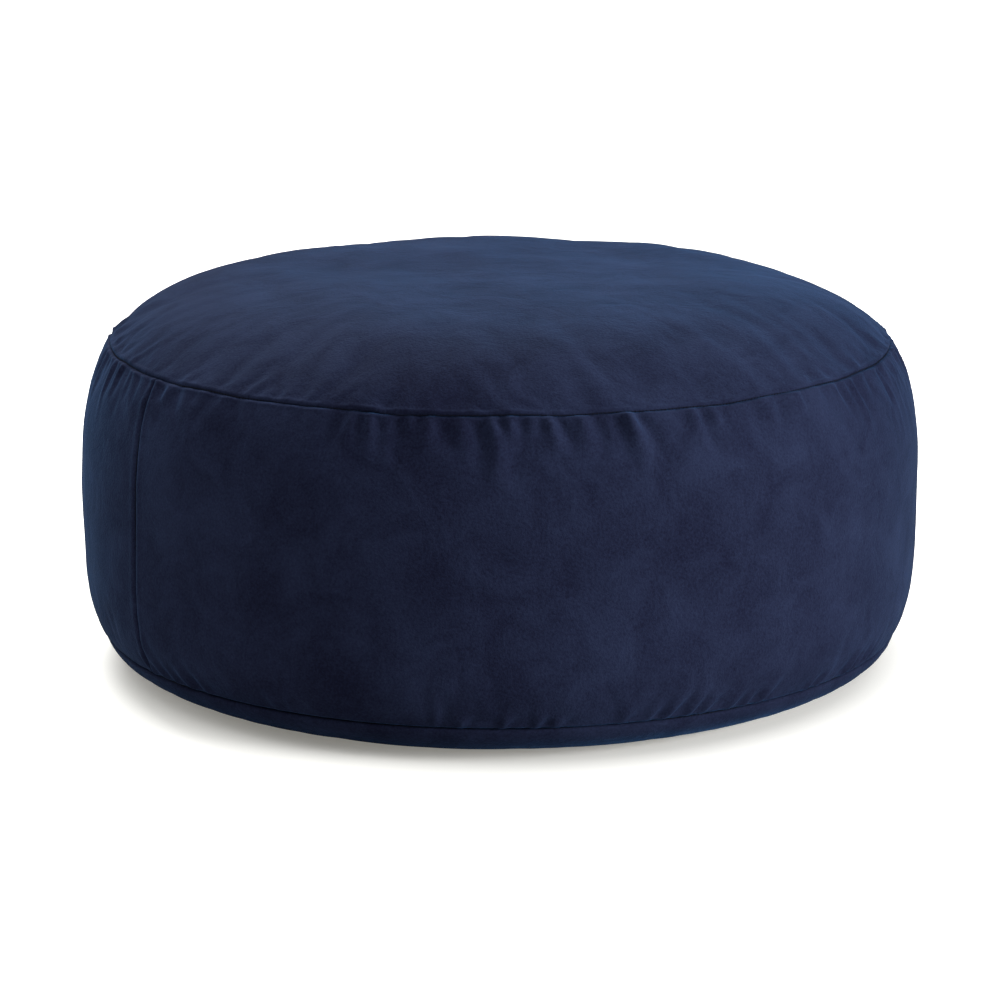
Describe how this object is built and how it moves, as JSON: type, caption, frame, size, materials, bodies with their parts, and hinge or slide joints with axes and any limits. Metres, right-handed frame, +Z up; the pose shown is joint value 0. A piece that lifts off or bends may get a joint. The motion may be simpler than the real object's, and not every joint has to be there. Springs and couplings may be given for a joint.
{
  "type": "floor cushion",
  "caption": "Large round barrel-sided floor cushion: a zip-off suede-look cover with a crowned top over a sewn inner bag of loose beads.",
  "frame": {"origin": "middle of the flat base, on the floor", "axes": "+Z up along the cushion's axis, -Y towards the front, +X to the right seen from the front"},
  "size_m": [0.7992, 0.7992, 0.37],
  "materials": {
    "suede": "brushed nap",
    "cover_thread": "spun polyester",
    "zip_tape": "woven",
    "zip_coil": "satin",
    "zip_metal": "nickel plated",
    "label": "satin ribbon",
    "liner": "plain weave",
    "beads": "foamed beads"
  },
  "bodies": {
    "cushion": {"top_panel": "suede", "side_panel_front": "suede", "side_panel_rear": "suede", "base_panel": "suede", "top_seam_thread": "cover_thread", "base_seam_thread": "cover_thread", "side_seam_thread_left": "cover_thread", "side_seam_thread_right": "cover_thread", "zip_tape_upper": "zip_tape", "zip_tape_lower": "zip_tape", "zip_coil_upper": "zip_coil", "zip_coil_lower": "zip_coil", "zip_start_stop": "zip_metal", "zip_end_stop": "zip_metal", "care_label": "label", "liner_top_panel": "liner", "liner_band": "liner", "liner_base_panel": "liner", "liner_top_seam_thread": "liner", "liner_base_seam_thread": "liner", "liner_filling_seam_thread": "liner", "bead_filling": "beads"},
    "slider": {"zip_slider": "zip_metal"},
    "pull": {"zip_pull": "zip_metal"}
  },
  "joints": [
    {"name": "zip_travel", "type": "hinge", "parent": "cushion", "child": "slider", "pos_m": [0, 0, 0.036], "axis": [0, 0, -1], "range_deg": [0, 114.9]},
    {"name": "pull_swing", "type": "hinge", "parent": "slider", "child": "pull", "pos_m": [-0.37612, 0.08359, 0.03479], "axis": [-0.4274, 0.095, 0.899], "range_deg": [0, 175]}
  ]
}
